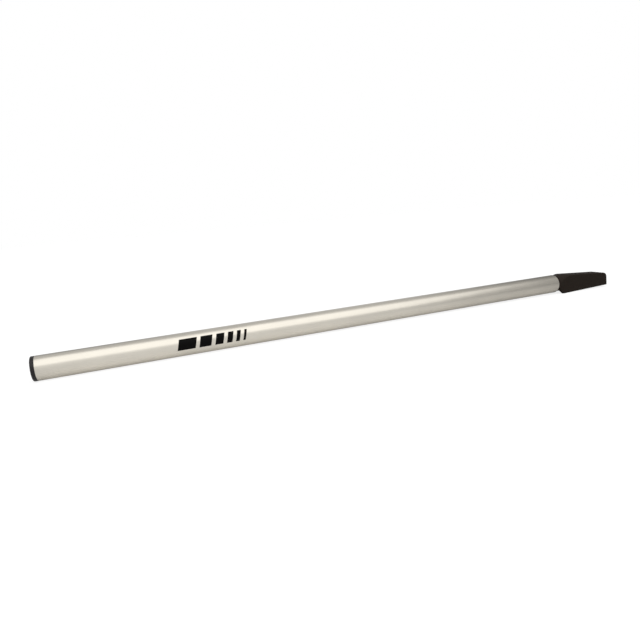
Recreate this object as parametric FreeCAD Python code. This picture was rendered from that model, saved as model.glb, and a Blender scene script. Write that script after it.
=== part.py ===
import FreeCAD, Part
import math
import os

# A dinghy's tiller: a straight anodised aluminium tube, a push-in plug at the hand end and, at the
# rudder end, a moulded wedge block that slides into the rudder head. Nothing on it moves.
# The pieces are drawn along X with the tube's axis as the line y = 0, z = 0 and the tube's hand end
# at x = 0, and are laid down last, the way the tiller lies on a floor.

# Tube: drawn aluminium tube, cut square and deburred, in millimetres like all sizes here
TUBE_OUTER_DIAMETER = 32.0
TUBE_WALL = 1.5
TUBE_LENGTH = 841.0
TUBE_DEBURR = 0.3

# Radial clearance between the bore and whatever is pressed into it, ribs and rings alike
BORE_CLEARANCE = 0.05

# End plug: soft black moulding with a flange as wide as the tube and a ringed, hollow stem
PLUG_FLANGE_THICKNESS = 4.8
PLUG_EDGE_RADIUS = 1.2
PLUG_EDGE_STEPS = 4
PLUG_GATE_RADIUS = 2.5
PLUG_GATE_DEPTH = 0.5
PLUG_STEM_LENGTH = 22.0
PLUG_STEM_WALL = 2.0
PLUG_RING_COUNT = 3
PLUG_RING_HEIGHT = 1.2
PLUG_RING_WIDTH = 2.4
PLUG_RING_LAND = 0.5
PLUG_FIRST_RING = 3.0
PLUG_RING_PITCH = 5.6
PLUG_BOTTOM_ROUND = 1.5

# Block: wedge moulding. Heights are taken from the tube's axis, lengths from the tube's rudder end
BLOCK_LENGTH = 119.3
BLOCK_WIDTH = 30.0
BLOCK_TOP_AT_ROOT = 16.4
BLOCK_TOP_AT_TIP = 7.8
BLOCK_BOTTOM_AT_ROOT = -18.3
BLOCK_BOTTOM_AT_TIP = -14.6
BLOCK_TIP_LEAN = 1.8
BLOCK_EDGE_RADIUS = 2.0
BLOCK_TIP_TOP_RADIUS = 8.0
BLOCK_BOTTOM_CHAMFER = 0.6

# Root of the block: its upper half is a short round neck, thinner than the tube, and a slow cone
# that trims the wedge's corners. Its lower half is a steep cone about a higher axis, up to the heel
NECK_RADIUS = 15.0
NECK_LENGTH = 3.5
SHOULDER_DISTANCE = 28.0
HEEL_DISTANCE = 14.0
HEEL_AXIS_HEIGHT = 1.7

# Underside of the block: open pockets between two cheeks, with a web and cross ribs
CHEEK_THICKNESS = 3.5
ROOF_THICKNESS = 4.0
TIP_WALL_THICKNESS = 4.0
ROOT_SOLID_LENGTH = 20.0
ROOT_RECESS_ROOF = -11.4
RIB_THICKNESS = 2.4
CROSS_RIB_COUNT = 3
RIB_SETBACK = 3.0

# Spigot of the block: hollow, with long crush ribs, pressed into the tube
SPIGOT_LENGTH = 60.0
SPIGOT_WALL = 3.0
SPIGOT_RIB_COUNT = 8
SPIGOT_RIB_HEIGHT = 1.0
SPIGOT_RIB_WIDTH = 3.0
SPIGOT_LEAD_LENGTH = 6.0
SPIGOT_LEAD_DROP = 1.4
SPIGOT_CORE_END_WALL = 6.0

# What cuts through something runs past its faces by this much
OVERCUT = 5.0

# Two places nearer than this are one
SAME_PLACE = 0.001

TUBE_RADIUS = TUBE_OUTER_DIAMETER / 2
BORE_RADIUS = TUBE_RADIUS - TUBE_WALL
BLOCK_HALF_WIDTH = BLOCK_WIDTH / 2
AXIS_START = FreeCAD.Vector(0, 0, 0)
AXIS_X = FreeCAD.Vector(1, 0, 0)
AXIS_Y = FreeCAD.Vector(0, 1, 0)
AXIS_Z = FreeCAD.Vector(0, 0, 1)


def profile_point(x, radius):
    return FreeCAD.Vector(x, 0, radius)


def line(start, end):
    return Part.LineSegment(start, end).toShape()


def closed_polygon(corners):
    edges = [line(start, end) for start, end in zip(corners, corners[1:] + corners[:1])]
    return Part.Face(Part.Wire(edges))


def revolved_polygon(points):
    """Solid of revolution about the tube's axis, from corners given as (x, distance from the axis)."""
    face = closed_polygon([profile_point(x, radius) for x, radius in points])
    return face.revolve(AXIS_START, AXIS_X, 360)


def make_tube():
    far = TUBE_LENGTH
    return revolved_polygon([
        (TUBE_DEBURR, TUBE_RADIUS),
        (far - TUBE_DEBURR, TUBE_RADIUS),
        (far, TUBE_RADIUS - TUBE_DEBURR),
        (far, BORE_RADIUS + TUBE_DEBURR),
        (far - TUBE_DEBURR, BORE_RADIUS),
        (TUBE_DEBURR, BORE_RADIUS),
        (0, BORE_RADIUS + TUBE_DEBURR),
        (0, TUBE_RADIUS - TUBE_DEBURR),
    ])


def plug_stem_outline(stem_radius):
    """Points along the plug's stem, from the flange to its end, over every gripping ring."""
    ring_radius = BORE_RADIUS - BORE_CLEARANCE
    points = [(0, stem_radius)]
    for index in range(PLUG_RING_COUNT):
        start = PLUG_FIRST_RING + index * PLUG_RING_PITCH
        points.append((start, stem_radius))
        points.append((start, ring_radius))
        points.append((start + PLUG_RING_LAND, ring_radius))
        points.append((start + PLUG_RING_WIDTH, stem_radius))
    return points


def plug_face_outline():
    """Points over the flat face of the flange, from the dimple in its middle towards its rim."""
    face = -PLUG_FLANGE_THICKNESS
    floor = face + PLUG_GATE_DEPTH
    return [(floor, 0), (floor, PLUG_GATE_RADIUS), (face, PLUG_GATE_RADIUS)]


def plug_edge_outline():
    """Points round the flange's edge, from its face to its outside."""
    centre_x = PLUG_EDGE_RADIUS - PLUG_FLANGE_THICKNESS
    centre_radius = TUBE_RADIUS - PLUG_EDGE_RADIUS
    points = []
    for step in range(PLUG_EDGE_STEPS + 1):
        turn = math.pi / 2 * step / PLUG_EDGE_STEPS
        points.append((
            centre_x - PLUG_EDGE_RADIUS * math.cos(turn),
            centre_radius + PLUG_EDGE_RADIUS * math.sin(turn),
        ))
    return points


def make_plug():
    """Flange with a rounded edge, and a hollow stem with rings that ramp towards its end."""
    stem_radius = BORE_RADIUS - BORE_CLEARANCE - PLUG_RING_HEIGHT
    hollow_radius = stem_radius - PLUG_STEM_WALL
    outline = plug_face_outline() + plug_edge_outline()
    outline += [(0, TUBE_RADIUS)] + plug_stem_outline(stem_radius)
    outline += [
        (PLUG_STEM_LENGTH - PLUG_BOTTOM_ROUND, stem_radius),
        (PLUG_STEM_LENGTH, stem_radius - PLUG_BOTTOM_ROUND),
        (PLUG_STEM_LENGTH, hollow_radius),
        (0, hollow_radius),
        (0, 0),
    ]
    return revolved_polygon(outline)


def along_block(at_root, at_tip, distance):
    return at_root + (at_tip - at_root) * distance / BLOCK_LENGTH


def block_top(distance):
    return along_block(BLOCK_TOP_AT_ROOT, BLOCK_TOP_AT_TIP, distance)


def block_bottom(distance):
    return along_block(BLOCK_BOTTOM_AT_ROOT, BLOCK_BOTTOM_AT_TIP, distance)


def prism_across(outline, half_width, middle_y):
    """Prism across Y, from a list of (distance, height) corners, centred on middle_y."""
    corners = [
        FreeCAD.Vector(TUBE_LENGTH + distance, middle_y - half_width, height)
        for distance, height in outline
    ]
    return closed_polygon(corners).extrude(AXIS_Y * (2 * half_width))


def edges_across(wedge, x):
    """Edges that run straight across the wedge at that x."""
    boxes = [(edge, edge.BoundBox) for edge in wedge.Edges]
    return [
        edge for edge, box in boxes
        if box.XLength < SAME_PLACE and box.ZLength < SAME_PLACE and abs(box.XMin - x) < SAME_PLACE
    ]


def side_edges(wedge):
    """Edges that bound the wedge's two flat sides, apart from those at its root."""
    edges = [edge for edge in wedge.Edges if edge.BoundBox.YLength < SAME_PLACE]
    return [edge for edge in edges if edge.BoundBox.XMax > TUBE_LENGTH + SAME_PLACE]


def wedge_body():
    """Flat-sided wedge with rounded edges along its top and tip, and a small chamfer along its bottom."""
    tip_top = BLOCK_LENGTH - BLOCK_TIP_LEAN
    wedge = prism_across([
        (0, BLOCK_BOTTOM_AT_ROOT),
        (BLOCK_LENGTH, BLOCK_BOTTOM_AT_TIP),
        (tip_top, block_top(tip_top)),
        (0, BLOCK_TOP_AT_ROOT),
    ], BLOCK_HALF_WIDTH, 0)
    wedge = wedge.makeFillet(BLOCK_TIP_TOP_RADIUS, edges_across(wedge, TUBE_LENGTH + tip_top))
    lowest = BLOCK_BOTTOM_AT_ROOT + SAME_PLACE
    upper = [edge for edge in side_edges(wedge) if edge.BoundBox.ZMin > lowest]
    wedge = wedge.makeFillet(BLOCK_EDGE_RADIUS, upper)
    lower = [edge for edge in side_edges(wedge) if edge.BoundBox.ZMin < lowest]
    return wedge.makeChamfer(BLOCK_BOTTOM_CHAMFER, lower)


def corner_radius(height, axis_height):
    """Distance of the wedge's corner at that height from an axis at axis_height."""
    return math.hypot(BLOCK_HALF_WIDTH, height - axis_height)


def root_trim(outline, axis_height):
    """Round envelope about a raised axis, from (distance, radius) corners, wide open past the last."""
    far = BLOCK_LENGTH + OVERCUT
    clear = corner_radius(BLOCK_BOTTOM_AT_ROOT, axis_height) + OVERCUT
    corners = [(0, 0)] + outline + [(outline[-1][0], clear), (far, clear), (far, 0)]
    envelope = revolved_polygon([(TUBE_LENGTH + distance, radius) for distance, radius in corners])
    envelope.translate(AXIS_Z * axis_height)
    return envelope


def block_body():
    """Outer form of the block: the wedge, trimmed at its root by one cone above and one below."""
    above = root_trim([
        (0, NECK_RADIUS),
        (NECK_LENGTH, NECK_RADIUS),
        (SHOULDER_DISTANCE, corner_radius(block_top(SHOULDER_DISTANCE), 0)),
    ], 0)
    below = root_trim([
        (0, math.hypot(NECK_RADIUS, HEEL_AXIS_HEIGHT)),
        (HEEL_DISTANCE, corner_radius(block_bottom(HEEL_DISTANCE), HEEL_AXIS_HEIGHT)),
    ], HEEL_AXIS_HEIGHT)
    size = (BLOCK_LENGTH + OVERCUT, 2 * TUBE_OUTER_DIAMETER, TUBE_OUTER_DIAMETER)
    corner = FreeCAD.Vector(TUBE_LENGTH, -TUBE_OUTER_DIAMETER, 0)
    upper_box = Part.makeBox(*size, corner)
    lower_box = Part.makeBox(*size, corner - AXIS_Z * TUBE_OUTER_DIAMETER)
    wedge = wedge_body()
    upper = wedge.common(above).common(upper_box)
    lower = wedge.common(below).common(lower_box)
    return upper.fuse(lower).removeSplitter()


def pocket_cells():
    """The cells left open under the roof, in two rows beside the web."""
    inner_half_width = BLOCK_HALF_WIDTH - CHEEK_THICKNESS
    cell_half_width = (inner_half_width - RIB_THICKNESS / 2) / 2
    cell_middle = (inner_half_width + RIB_THICKNESS / 2) / 2
    pocket_end = BLOCK_LENGTH - TIP_WALL_THICKNESS
    cell_count = CROSS_RIB_COUNT + 1
    free_length = pocket_end - ROOT_SOLID_LENGTH - CROSS_RIB_COUNT * RIB_THICKNESS
    cell_length = free_length / cell_count
    cells = []
    for index in range(cell_count):
        start = ROOT_SOLID_LENGTH + index * (cell_length + RIB_THICKNESS)
        end = start + cell_length
        outline = [
            (start, block_bottom(start) - OVERCUT),
            (end, block_bottom(end) - OVERCUT),
            (end, block_top(end) - ROOF_THICKNESS),
            (start, block_top(start) - ROOF_THICKNESS),
        ]
        for side in (-1, 1):
            cells.append(prism_across(outline, cell_half_width, side * cell_middle))
    return cells


def underside_recess():
    """Shallow recess between the cheeks, from the root and along the ribs' lower edges."""
    pocket_end = BLOCK_LENGTH - TIP_WALL_THICKNESS
    outline = [
        (0, BLOCK_BOTTOM_AT_ROOT - OVERCUT),
        (pocket_end, BLOCK_BOTTOM_AT_ROOT - OVERCUT),
        (pocket_end, block_bottom(pocket_end) + RIB_SETBACK),
        (ROOT_SOLID_LENGTH, block_bottom(ROOT_SOLID_LENGTH) + RIB_SETBACK),
        (ROOT_SOLID_LENGTH, ROOT_RECESS_ROOF),
        (0, ROOT_RECESS_ROOF),
    ]
    return prism_across(outline, BLOCK_HALF_WIDTH - CHEEK_THICKNESS, 0)


def spigot_ribs(core_radius, rib_radius):
    """Long ribs round the spigot, spaced evenly."""
    ribs = []
    for index in range(SPIGOT_RIB_COUNT):
        rib = Part.makeBox(
            SPIGOT_LENGTH,
            SPIGOT_RIB_WIDTH,
            rib_radius - core_radius / 2,
            FreeCAD.Vector(TUBE_LENGTH - SPIGOT_LENGTH, -SPIGOT_RIB_WIDTH / 2, core_radius / 2),
        )
        rib.rotate(AXIS_START, AXIS_X, index * 360 / SPIGOT_RIB_COUNT)
        ribs.append(rib)
    return ribs


def block_spigot():
    """Ribbed, hollow spigot with a tapered nose, which ends at the tube's rudder end."""
    rib_radius = BORE_RADIUS - BORE_CLEARANCE
    core_radius = rib_radius - SPIGOT_RIB_HEIGHT
    start = TUBE_LENGTH - SPIGOT_LENGTH
    envelope = revolved_polygon([
        (start, 0),
        (start, rib_radius - SPIGOT_LEAD_DROP),
        (start + SPIGOT_LEAD_LENGTH, rib_radius),
        (TUBE_LENGTH, rib_radius),
        (TUBE_LENGTH, 0),
    ])
    core = Part.makeCylinder(core_radius, SPIGOT_LENGTH, FreeCAD.Vector(start, 0, 0), AXIS_X)
    ribbed = core.fuse(spigot_ribs(core_radius, rib_radius)).removeSplitter()
    hollow_length = SPIGOT_LENGTH - SPIGOT_CORE_END_WALL
    hollow = Part.makeCylinder(
        core_radius - SPIGOT_WALL, hollow_length, FreeCAD.Vector(start, 0, 0), AXIS_X
    )
    return ribbed.common(envelope).cut(hollow)


def make_block():
    body = block_body().cut([underside_recess()] + pocket_cells())
    return body.fuse(block_spigot()).removeSplitter()


def rest_angle(block):
    """Degrees that the block's heel lifts the rudder end, with the plug's rim as the other support."""
    heel = min((vertex.Point for vertex in block.Vertexes), key=lambda point: point.z)
    drop = max(-heel.z - TUBE_RADIUS, 0)
    return math.degrees(math.atan2(drop, heel.x + PLUG_FLANGE_THICKNESS - PLUG_EDGE_RADIUS))


def laid_down(pieces):
    """The pieces as they lie on a floor, with the origin at the middle of the base of their box."""
    angle = rest_angle(pieces["rudder_head_block"])
    for shape in pieces.values():
        shape.rotate(AXIS_START, AXIS_Y, -angle)
    box = Part.makeCompound(list(pieces.values())).optimalBoundingBox(False)
    shift = FreeCAD.Vector(-box.Center.x, -box.Center.y, -box.ZMin)
    for shape in pieces.values():
        shape.translate(shift)
    return pieces


def main():
    pieces = laid_down({
        "tiller_tube": make_tube(),
        "end_plug": make_plug(),
        "rudder_head_block": make_block(),
    })
    os.makedirs("parts", exist_ok=True)
    for name, shape in pieces.items():
        shape.exportStep("parts/" + name + ".step")
        box = shape.optimalBoundingBox(False)
        print(name, "solids", len(shape.Solids), "valid", shape.isValid(), "volume", round(shape.Volume))
        print("  x", round(box.XMin, 2), round(box.XMax, 2), "z", round(box.ZMin, 3), round(box.ZMax, 2))


main()
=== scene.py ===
import math

import bpy
from mathutils import Euler, Matrix, Vector


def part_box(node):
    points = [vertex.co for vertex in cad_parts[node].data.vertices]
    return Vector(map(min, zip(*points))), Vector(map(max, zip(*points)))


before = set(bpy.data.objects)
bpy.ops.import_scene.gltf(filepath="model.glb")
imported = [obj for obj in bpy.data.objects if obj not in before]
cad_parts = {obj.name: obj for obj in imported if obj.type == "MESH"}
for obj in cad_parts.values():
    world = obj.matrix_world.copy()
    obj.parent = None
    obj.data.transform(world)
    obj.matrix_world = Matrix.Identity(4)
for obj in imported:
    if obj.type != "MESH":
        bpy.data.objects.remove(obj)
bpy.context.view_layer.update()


# Tube: one length of drawn aluminium tube, cut square and deburred at both ends, then etched and
# clear anodised. The etch leaves an even satin skin with a slight warm cast, over faint lines that
# the drawing die left along it. A black mark is screen printed on the front, near the hand end.
TUBE_LOW, TUBE_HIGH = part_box("tiller_tube")
TUBE_SIZE = TUBE_HIGH - TUBE_LOW
TUBE_RADIUS = TUBE_SIZE.y / 2
TUBE_RISE = math.atan((TUBE_SIZE.z - TUBE_SIZE.y) / TUBE_SIZE.x)

METAL_DARK = "#C2BDB3"
METAL_LIGHT = "#CEC9BE"
METAL_SMOOTH = 0.24
METAL_ROUGH = 0.34
MOTTLE_SIZE = 0.035
MOTTLE_DETAIL = 4
# Real drawing lines are some hundredths of a millimetre apart, so these are drawn much coarser.
LINE_LENGTH = 0.120
LINE_WIDTH = 0.0009
LINE_DEPTH = 0.000008
LINE_DETAIL = 0
GLOSS_LINES_FINER = 2
GLOSS_LINES_DETAIL = 2

INK = "#080706"
INK_ROUGHNESS = 0.42
INK_SPECULAR = 0.05
PRINT_START = 0.172
PRINT_HEIGHT = 0.0155
PRINT_MIDDLE = 0.0031
PRINT_SLANT = math.radians(14)
PRINT_BAR_COUNT = 6
PRINT_FIRST_BAR = 0.024
PRINT_BAR_SHRINK = 0.68
PRINT_GAP = 0.0052
# A ramp holds its first stop to the left, so the first bar starts a little after that stop.
PRINT_FIRST_STOP = 0.0005


def linear(colour):
    """A hex sRGB colour as linear red, green, blue and alpha."""
    channels = [int(colour[start:start + 2], 16) / 255 for start in (1, 3, 5)]
    return [c / 12.92 if c <= 0.04045 else ((c + 0.055) / 1.055) ** 2.4 for c in channels] + [1]


def add_node(tree, kind, settings=None, links=None):
    """Adds a node of that kind, sets its properties and unlinked inputs, and links the others. An
    input goes by its name, or by its number where several share a name."""
    node = tree.nodes.new(kind)
    for name, value in (settings or {}).items():
        if isinstance(name, int) or name in node.inputs:
            node.inputs[name].default_value = value
        else:
            setattr(node, name, value)
    for name, source in (links or {}).items():
        tree.links.new(source, node.inputs[name])
    return node


def new_material(name):
    """An empty node material, with its tree and the surface input that a shader is linked to."""
    material = bpy.data.materials.new(name)
    material.use_nodes = True
    tree = material.node_tree
    tree.nodes.clear()
    output = tree.nodes.new("ShaderNodeOutputMaterial")
    return material, tree, output.inputs["Surface"]


def finish_node(name, material):
    """Gives a CAD node its material."""
    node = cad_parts[name]
    node.data.materials.clear()
    node.data.materials.append(material)


def printed_bars(tree, place):
    """1 where the black mark is printed: slanted bars, each narrower than the one before."""
    along = add_node(tree, "ShaderNodeMath", {"operation": "SUBTRACT", 1: TUBE_LOW.x + PRINT_START},
                     {0: place["X"]})
    axis = add_node(tree, "ShaderNodeMath", {
        "operation": "MULTIPLY_ADD",
        1: math.tan(TUBE_RISE),
        2: TUBE_LOW.z + TUBE_RADIUS - TUBE_LOW.x * math.tan(TUBE_RISE),
    }, {0: place["X"]})
    above = add_node(tree, "ShaderNodeMath", {"operation": "SUBTRACT"},
                     {0: place["Z"], 1: axis.outputs[0]})
    front = add_node(tree, "ShaderNodeMath", {"operation": "MULTIPLY", 1: -1}, {0: place["Y"]})
    turn = add_node(tree, "ShaderNodeMath", {"operation": "ARCTAN2"},
                    {0: above.outputs[0], 1: front.outputs[0]})
    across = add_node(tree, "ShaderNodeMath", {
        "operation": "MULTIPLY_ADD",
        1: TUBE_RADIUS,
        2: -PRINT_MIDDLE,
    }, {0: turn.outputs[0]})
    slanted = add_node(tree, "ShaderNodeMath", {
        "operation": "MULTIPLY_ADD",
        1: -math.tan(PRINT_SLANT),
    }, {0: across.outputs[0], 2: along.outputs[0]})

    edges = []
    start = 0
    width = PRINT_FIRST_BAR
    for bar in range(PRINT_BAR_COUNT):
        edges.append((start, 1))
        edges.append((start + width, 0))
        start += width + PRINT_GAP
        width *= PRINT_BAR_SHRINK
    print_length = start
    share = add_node(tree, "ShaderNodeMath", {"operation": "DIVIDE", 1: print_length},
                     {0: slanted.outputs[0]})
    bars = add_node(tree, "ShaderNodeValToRGB", links={"Fac": share.outputs[0]})
    ramp = bars.color_ramp
    ramp.interpolation = "CONSTANT"
    for element in ramp.elements:
        element.color = (0, 0, 0, 1)
    for edge, ink in edges:
        stop = max(edge / print_length, PRINT_FIRST_STOP)
        ramp.elements.new(stop).color = (ink, ink, ink, 1)

    height = add_node(tree, "ShaderNodeMath", {"operation": "ABSOLUTE"}, {0: across.outputs[0]})
    inside = add_node(tree, "ShaderNodeMath", {"operation": "LESS_THAN", 1: PRINT_HEIGHT / 2},
                      {0: height.outputs[0]})
    return add_node(tree, "ShaderNodeMath", {"operation": "MULTIPLY"},
                    {0: bars.outputs["Color"], 1: inside.outputs[0]}).outputs[0]


def satin_anodised_aluminium():
    """Warm grey metal with a soft broad highlight, which the lines along the tube widen a little.
    The print lies on it as a thin dull skin of ink, with no metal in it."""
    material, tree, surface = new_material("satin_anodised_aluminium")
    coordinates = add_node(tree, "ShaderNodeTexCoord")
    place = add_node(tree, "ShaderNodeSeparateXYZ", links={0: coordinates.outputs["Object"]})
    stretched = add_node(tree, "ShaderNodeMapping", {
        "Scale": (1 / LINE_LENGTH, 1 / LINE_WIDTH, 1 / LINE_WIDTH),
    }, {"Vector": coordinates.outputs["Object"]})
    lines = add_node(tree, "ShaderNodeTexNoise", {"Scale": 1, "Detail": LINE_DETAIL},
                     {"Vector": stretched.outputs[0]})
    gloss_lines = add_node(tree, "ShaderNodeTexNoise", {
        "Scale": GLOSS_LINES_FINER,
        "Detail": GLOSS_LINES_DETAIL,
    }, {"Vector": stretched.outputs[0]})
    mottle = add_node(tree, "ShaderNodeTexNoise", {
        "Scale": 1 / MOTTLE_SIZE,
        "Detail": MOTTLE_DETAIL,
    }, {"Vector": coordinates.outputs["Object"]})
    metal = add_node(tree, "ShaderNodeMix", {
        "data_type": "RGBA",
        6: linear(METAL_DARK),
        7: linear(METAL_LIGHT),
    }, {0: mottle.outputs["Fac"]})
    satin = add_node(tree, "ShaderNodeMapRange", {"To Min": METAL_SMOOTH, "To Max": METAL_ROUGH},
                     {"Value": gloss_lines.outputs["Fac"]})
    ink = printed_bars(tree, place.outputs)
    colour = add_node(tree, "ShaderNodeMix", {"data_type": "RGBA", 7: linear(INK)},
                      {0: ink, 6: metal.outputs[2]})
    roughness = add_node(tree, "ShaderNodeMix", {3: INK_ROUGHNESS}, {0: ink, 2: satin.outputs[0]})
    metallic = add_node(tree, "ShaderNodeMath", {"operation": "SUBTRACT", 0: 1}, {1: ink})
    bump = add_node(tree, "ShaderNodeBump", {"Strength": 1, "Distance": LINE_DEPTH},
                    {"Height": lines.outputs["Fac"]})
    shader = add_node(tree, "ShaderNodeBsdfPrincipled", {"Specular IOR Level": INK_SPECULAR}, {
        "Base Color": colour.outputs[2],
        "Metallic": metallic.outputs[0],
        "Roughness": roughness.outputs[0],
        "Normal": bump.outputs[0],
    })
    tree.links.new(shader.outputs[0], surface)
    return material


finish_node("tiller_tube", satin_anodised_aluminium())


# End plug: a push-in cap for the hand end, injection moulded in black polyethylene. Its flange is
# as wide as the tube, so only a thin black disc with a rounded edge shows. The finely stoned mould
# leaves a waxy sheen and a faint grain of under 0.1 mm, which is drawn coarser here.
PLUG_PIT = "#110D0E"
PLUG_LAND = "#181315"
PLUG_SMOOTH = 0.18
PLUG_ROUGH = 0.28
PLUG_SPECULAR = 0.29
PLUG_GRAIN_SIZE = 0.0005
PLUG_GRAIN_DEPTH = 0.000015

PLASTIC_IOR = 1.5
GRAIN_DETAIL = 2
LAND_START = 0.38
LAND_END = 0.62
FLOW_MARK_SIZE = 0.017
FLOW_MARK_DETAIL = 2
FLOW_MARK_SHARE = 0.4


def moulded_black(name, pit, land, smooth, rough, specular, grain_size, grain_depth):
    """Black plastic with the skin of its mould: small dull pits between flatter, smoother lands, and
    wide faint marks where the plastic flowed. The pits trap light, so the specular level is lower
    than that of a polished plastic."""
    material, tree, surface = new_material(name)
    coordinates = add_node(tree, "ShaderNodeTexCoord")
    grain = add_node(tree, "ShaderNodeTexNoise", {"Scale": 1 / grain_size, "Detail": GRAIN_DETAIL},
                     {"Vector": coordinates.outputs["Object"]})
    lands = add_node(tree, "ShaderNodeMapRange", {
        "interpolation_type": "SMOOTHSTEP",
        "From Min": LAND_START,
        "From Max": LAND_END,
    }, {"Value": grain.outputs["Fac"]})
    flow_marks = add_node(tree, "ShaderNodeTexNoise", {
        "Scale": 1 / FLOW_MARK_SIZE,
        "Detail": FLOW_MARK_DETAIL,
    }, {"Vector": coordinates.outputs["Object"]})
    shade = add_node(tree, "ShaderNodeMix", {0: FLOW_MARK_SHARE},
                     {2: lands.outputs[0], 3: flow_marks.outputs["Fac"]})
    colour = add_node(tree, "ShaderNodeMix", {"data_type": "RGBA", 6: linear(pit), 7: linear(land)},
                      {0: shade.outputs[0]})
    roughness = add_node(tree, "ShaderNodeMapRange", {"To Min": rough, "To Max": smooth},
                         {"Value": lands.outputs[0]})
    bump = add_node(tree, "ShaderNodeBump", {"Strength": 1, "Distance": grain_depth},
                    {"Height": lands.outputs[0]})
    shader = add_node(tree, "ShaderNodeBsdfPrincipled", {
        "IOR": PLASTIC_IOR,
        "Specular IOR Level": specular,
    }, {
        "Base Color": colour.outputs[2],
        "Roughness": roughness.outputs[0],
        "Normal": bump.outputs[0],
    })
    tree.links.new(shader.outputs[0], surface)
    return material


finish_node("end_plug", moulded_black(
    "moulded_polyethylene", PLUG_PIT, PLUG_LAND, PLUG_SMOOTH, PLUG_ROUGH, PLUG_SPECULAR,
    PLUG_GRAIN_SIZE, PLUG_GRAIN_DEPTH
))


# Rudder head block: a wedge injection moulded in black nylon, cored from below, with a ribbed
# spigot pressed into the tube. The mould was spark eroded, which leaves the nylon matt and grained,
# and a slightly brownish black. The real grain is about 0.2 mm, so it is drawn coarser here.
BLOCK_PIT = "#170F08"
BLOCK_LAND = "#231910"
BLOCK_SMOOTH = 0.50
BLOCK_ROUGH = 0.66
BLOCK_SPECULAR = 0.16
BLOCK_GRAIN_SIZE = 0.0006
BLOCK_GRAIN_DEPTH = 0.00006

finish_node("rudder_head_block", moulded_black(
    "moulded_nylon", BLOCK_PIT, BLOCK_LAND, BLOCK_SMOOTH, BLOCK_ROUGH, BLOCK_SPECULAR,
    BLOCK_GRAIN_SIZE, BLOCK_GRAIN_DEPTH
))


# Floor: a pale sweep that is seen as plain white and still takes the tiller's shadow. The metal
# mirrors it as white paper with a little of the same glow, so that the tube's own shadow shows
# along its lower side. What it mirrors carries painted shade in the paper's colour, set by place on
# the floor: darker towards the block, standing in for a floor lit from the left, and a little darker
# past the hand end.
FLOOR_SIZE = 30.0
FLOOR_GLOW = 0.82
FLOOR_GLOW_MIRRORED = 0.14
PAPER = 0.27
PAPER_MIRRORED = 0.95
SMOOTH_FADE = {"interpolation_type": "SMOOTHSTEP"}
# Painted shade: the paper's colour, as the metal mirrors it, is darkened by place on the floor, towards
# the block and past the hand end.
PAINTED_SHADE_TOWARDS_BLOCK = {"From Min": -0.20, "From Max": 0.80, "To Min": 1.0, "To Max": 0.34}
PAINTED_SHADE_PAST_HAND = {"From Min": -0.52, "From Max": -0.42, "To Min": 0.90, "To Max": 1.0}


def studio_floor():
    """White to the eye, white paper with painted shade to what mirrors it, and plain grey paper to the
    light that falls on it.
    """
    material, tree, surface = new_material("studio_floor")
    ray = add_node(tree, "ShaderNodeLightPath")
    mirrored = add_node(tree, "ShaderNodeMath", {"operation": "MAXIMUM"},
                        {0: ray.outputs["Is Glossy Ray"], 1: ray.outputs["Is Transmission Ray"]})
    position = add_node(tree, "ShaderNodeNewGeometry")
    place = add_node(tree, "ShaderNodeSeparateXYZ", links={0: position.outputs["Position"]})
    # Painted shade: by place on the floor, the mirrored paper's colour is darkened towards the block
    # and past the hand end.
    to_block = add_node(tree, "ShaderNodeMapRange", SMOOTH_FADE | PAINTED_SHADE_TOWARDS_BLOCK,
                        {"Value": place.outputs["X"]})
    painted_shade_past_hand = add_node(tree, "ShaderNodeMapRange", SMOOTH_FADE | PAINTED_SHADE_PAST_HAND,
                       {"Value": place.outputs["X"]})
    fade = add_node(tree, "ShaderNodeMath", {"operation": "MULTIPLY"},
                    {0: to_block.outputs[0], 1: painted_shade_past_hand.outputs[0]})
    glow_mirrored = add_node(tree, "ShaderNodeMath", {"operation": "MULTIPLY", 1: FLOOR_GLOW_MIRRORED},
                             {0: mirrored.outputs[0]})
    glow = add_node(tree, "ShaderNodeMath", {"operation": "MULTIPLY_ADD", 1: FLOOR_GLOW},
                    {0: ray.outputs["Is Camera Ray"], 2: glow_mirrored.outputs[0]})
    mirrored_paper_with_painted_shade = add_node(tree, "ShaderNodeMath", {"operation": "MULTIPLY", 1: PAPER_MIRRORED},
                              {0: fade.outputs[0]})
    shade = add_node(tree, "ShaderNodeMix", {2: PAPER},
                     {0: mirrored.outputs[0], 3: mirrored_paper_with_painted_shade.outputs[0]})
    white = add_node(tree, "ShaderNodeEmission", links={"Strength": glow.outputs[0]})
    paper = add_node(tree, "ShaderNodeBsdfDiffuse", links={"Color": shade.outputs[0]})
    both = add_node(tree, "ShaderNodeAddShader", links={0: white.outputs[0], 1: paper.outputs[0]})
    tree.links.new(both.outputs[0], surface)
    return material


bpy.ops.mesh.primitive_plane_add(size=FLOOR_SIZE, location=(0, 0, 0))
floor = bpy.context.object
floor.name = "floor"
floor.data.materials.append(studio_floor())


# Room: white to the eye, and a plain level of light on the tiller. What the metal mirrors is white
# too, dimmer behind the tiller, dimmer again low down beyond both of its ends, and falling off
# towards the block, because the light comes from the hand end. Each fade is over a direction.
ROOM_SEEN = 1.0
ROOM_LIGHT = 0.85
ROOM_MIRRORED = 1.0
ROOM_TOWARDS_BLOCK = {"From Min": 0.42, "From Max": 0.85, "To Min": 1.06, "To Max": 0.18}
ROOM_BEHIND = {"From Min": -0.1, "From Max": 0.5, "To Min": 1.0, "To Max": 0.70}
ROOM_LOW = {"From Min": 0.25, "From Max": 0.75, "To Min": 0.40, "To Max": 1.0}
ROOM_REAR = {"From Min": -0.1, "From Max": 0.3}
ROOM_MIDDLE = 0.35
ROOM_ENDS = {"From Min": 0.22, "From Max": 0.40}
NOT_FADED = 1.0

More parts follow.
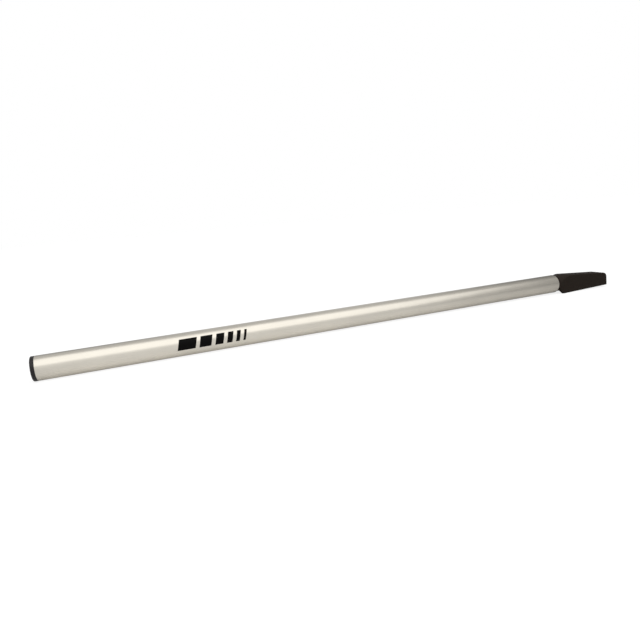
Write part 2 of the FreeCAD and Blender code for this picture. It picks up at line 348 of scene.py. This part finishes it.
world = bpy.data.worlds.new("room")
world.use_nodes = True
room = world.node_tree
room.nodes.clear()
ray = add_node(room, "ShaderNodeLightPath")
coordinates = add_node(room, "ShaderNodeTexCoord")
direction = add_node(room, "ShaderNodeSeparateXYZ", links={0: coordinates.outputs["Generated"]}).outputs
to_block = add_node(room, "ShaderNodeMapRange", SMOOTH_FADE | ROOM_TOWARDS_BLOCK,
                    {"Value": direction["X"]})
behind = add_node(room, "ShaderNodeMapRange", SMOOTH_FADE | ROOM_BEHIND, {"Value": direction["Y"]})
low = add_node(room, "ShaderNodeMapRange", SMOOTH_FADE | ROOM_LOW, {"Value": direction["Z"]})
rear = add_node(room, "ShaderNodeMapRange", SMOOTH_FADE | ROOM_REAR, {"Value": direction["Y"]})
from_middle = add_node(room, "ShaderNodeMath", {"operation": "SUBTRACT", 1: ROOM_MIDDLE},
                       {0: direction["X"]})
sideways = add_node(room, "ShaderNodeMath", {"operation": "ABSOLUTE"}, {0: from_middle.outputs[0]})
ends = add_node(room, "ShaderNodeMapRange", SMOOTH_FADE | ROOM_ENDS, {"Value": sideways.outputs[0]})
corners = add_node(room, "ShaderNodeMath", {"operation": "MULTIPLY"},
                   {0: rear.outputs[0], 1: ends.outputs[0]})
corner_fade = add_node(room, "ShaderNodeMix", {2: NOT_FADED},
                       {0: corners.outputs[0], 3: low.outputs[0]})
side_fade = add_node(room, "ShaderNodeMath", {"operation": "MULTIPLY"},
                     {0: to_block.outputs[0], 1: behind.outputs[0]})
fade = add_node(room, "ShaderNodeMath", {"operation": "MULTIPLY"},
                {0: side_fade.outputs[0], 1: corner_fade.outputs[0]})
mirrored = add_node(room, "ShaderNodeMath", {"operation": "MAXIMUM"},
                    {0: ray.outputs["Is Glossy Ray"], 1: ray.outputs["Is Transmission Ray"]})
level = add_node(room, "ShaderNodeMix", {2: ROOM_LIGHT, 3: ROOM_MIRRORED}, {0: mirrored.outputs[0]})
unseen = add_node(room, "ShaderNodeMath", {"operation": "MULTIPLY"},
                  {0: fade.outputs[0], 1: level.outputs[0]})
strength = add_node(room, "ShaderNodeMix", {3: ROOM_SEEN},
                    {0: ray.outputs["Is Camera Ray"], 2: unseen.outputs[0]})
background = add_node(room, "ShaderNodeBackground", {"Color": (1, 1, 1, 1)},
                      {"Strength": strength.outputs[0]})
add_node(room, "ShaderNodeOutputWorld", links={"Surface": background.outputs[0]})
bpy.context.scene.world = world


# Softbox: a wide bank of light in front of the tiller and over it, which draws the bright band
# along the upper side of the tube. It leans, so the band sinks a little towards the block.
SOFTBOX_WIDTH = 2.3
SOFTBOX_HEIGHT = 1.66
SOFTBOX_DISTANCE = 1.3
SOFTBOX_OFFSET = 0.10
SOFTBOX_ELEVATION = math.radians(58)
SOFTBOX_LEAN = math.radians(13)
SOFTBOX_LEVEL = 0.70

softbox = bpy.data.lights.new("softbox", "AREA")
softbox.shape = "RECTANGLE"
softbox.size = SOFTBOX_WIDTH
softbox.size_y = SOFTBOX_HEIGHT
softbox.energy = SOFTBOX_LEVEL * math.pi * SOFTBOX_WIDTH * SOFTBOX_HEIGHT
lamp = bpy.data.objects.new("softbox", softbox)
lamp.location = Vector((
    SOFTBOX_OFFSET,
    -SOFTBOX_DISTANCE * math.cos(SOFTBOX_ELEVATION),
    SOFTBOX_DISTANCE * math.sin(SOFTBOX_ELEVATION),
))
tilted = Euler((math.pi / 2 - SOFTBOX_ELEVATION, 0, 0)).to_matrix()
lamp.rotation_euler = (tilted @ Matrix.Rotation(-SOFTBOX_LEAN, 3, "Z")).to_euler()
bpy.context.scene.collection.objects.link(lamp)


# Camera: a 28 mm lens close to the hand end, turned to the right, tipped down and a little rolled.
CAMERA_PAST_HAND_END = 0.12597
CAMERA_BACK = 0.69140
CAMERA_HEIGHT = 0.17460
CAMERA_HEADING = math.radians(20.41)
CAMERA_PITCH = math.radians(-11.855)
CAMERA_ROLL = math.radians(-4.72)
LENS = 28
SENSOR_WIDTH = 36

camera = bpy.data.cameras.new("camera")
camera.lens = LENS
camera.sensor_width = SENSOR_WIDTH
viewer = bpy.data.objects.new("camera", camera)
stand = Vector((TUBE_LOW.x + CAMERA_PAST_HAND_END, -CAMERA_BACK, CAMERA_HEIGHT))
turned = Euler((math.pi / 2 + CAMERA_PITCH, 0, -CAMERA_HEADING)).to_matrix()
rolled = turned @ Matrix.Rotation(CAMERA_ROLL, 3, "Z")
viewer.matrix_world = Matrix.Translation(stand) @ rolled.to_4x4()
bpy.context.scene.collection.objects.link(viewer)
bpy.context.scene.camera = viewer
bpy.context.scene.view_settings.view_transform = "Standard"
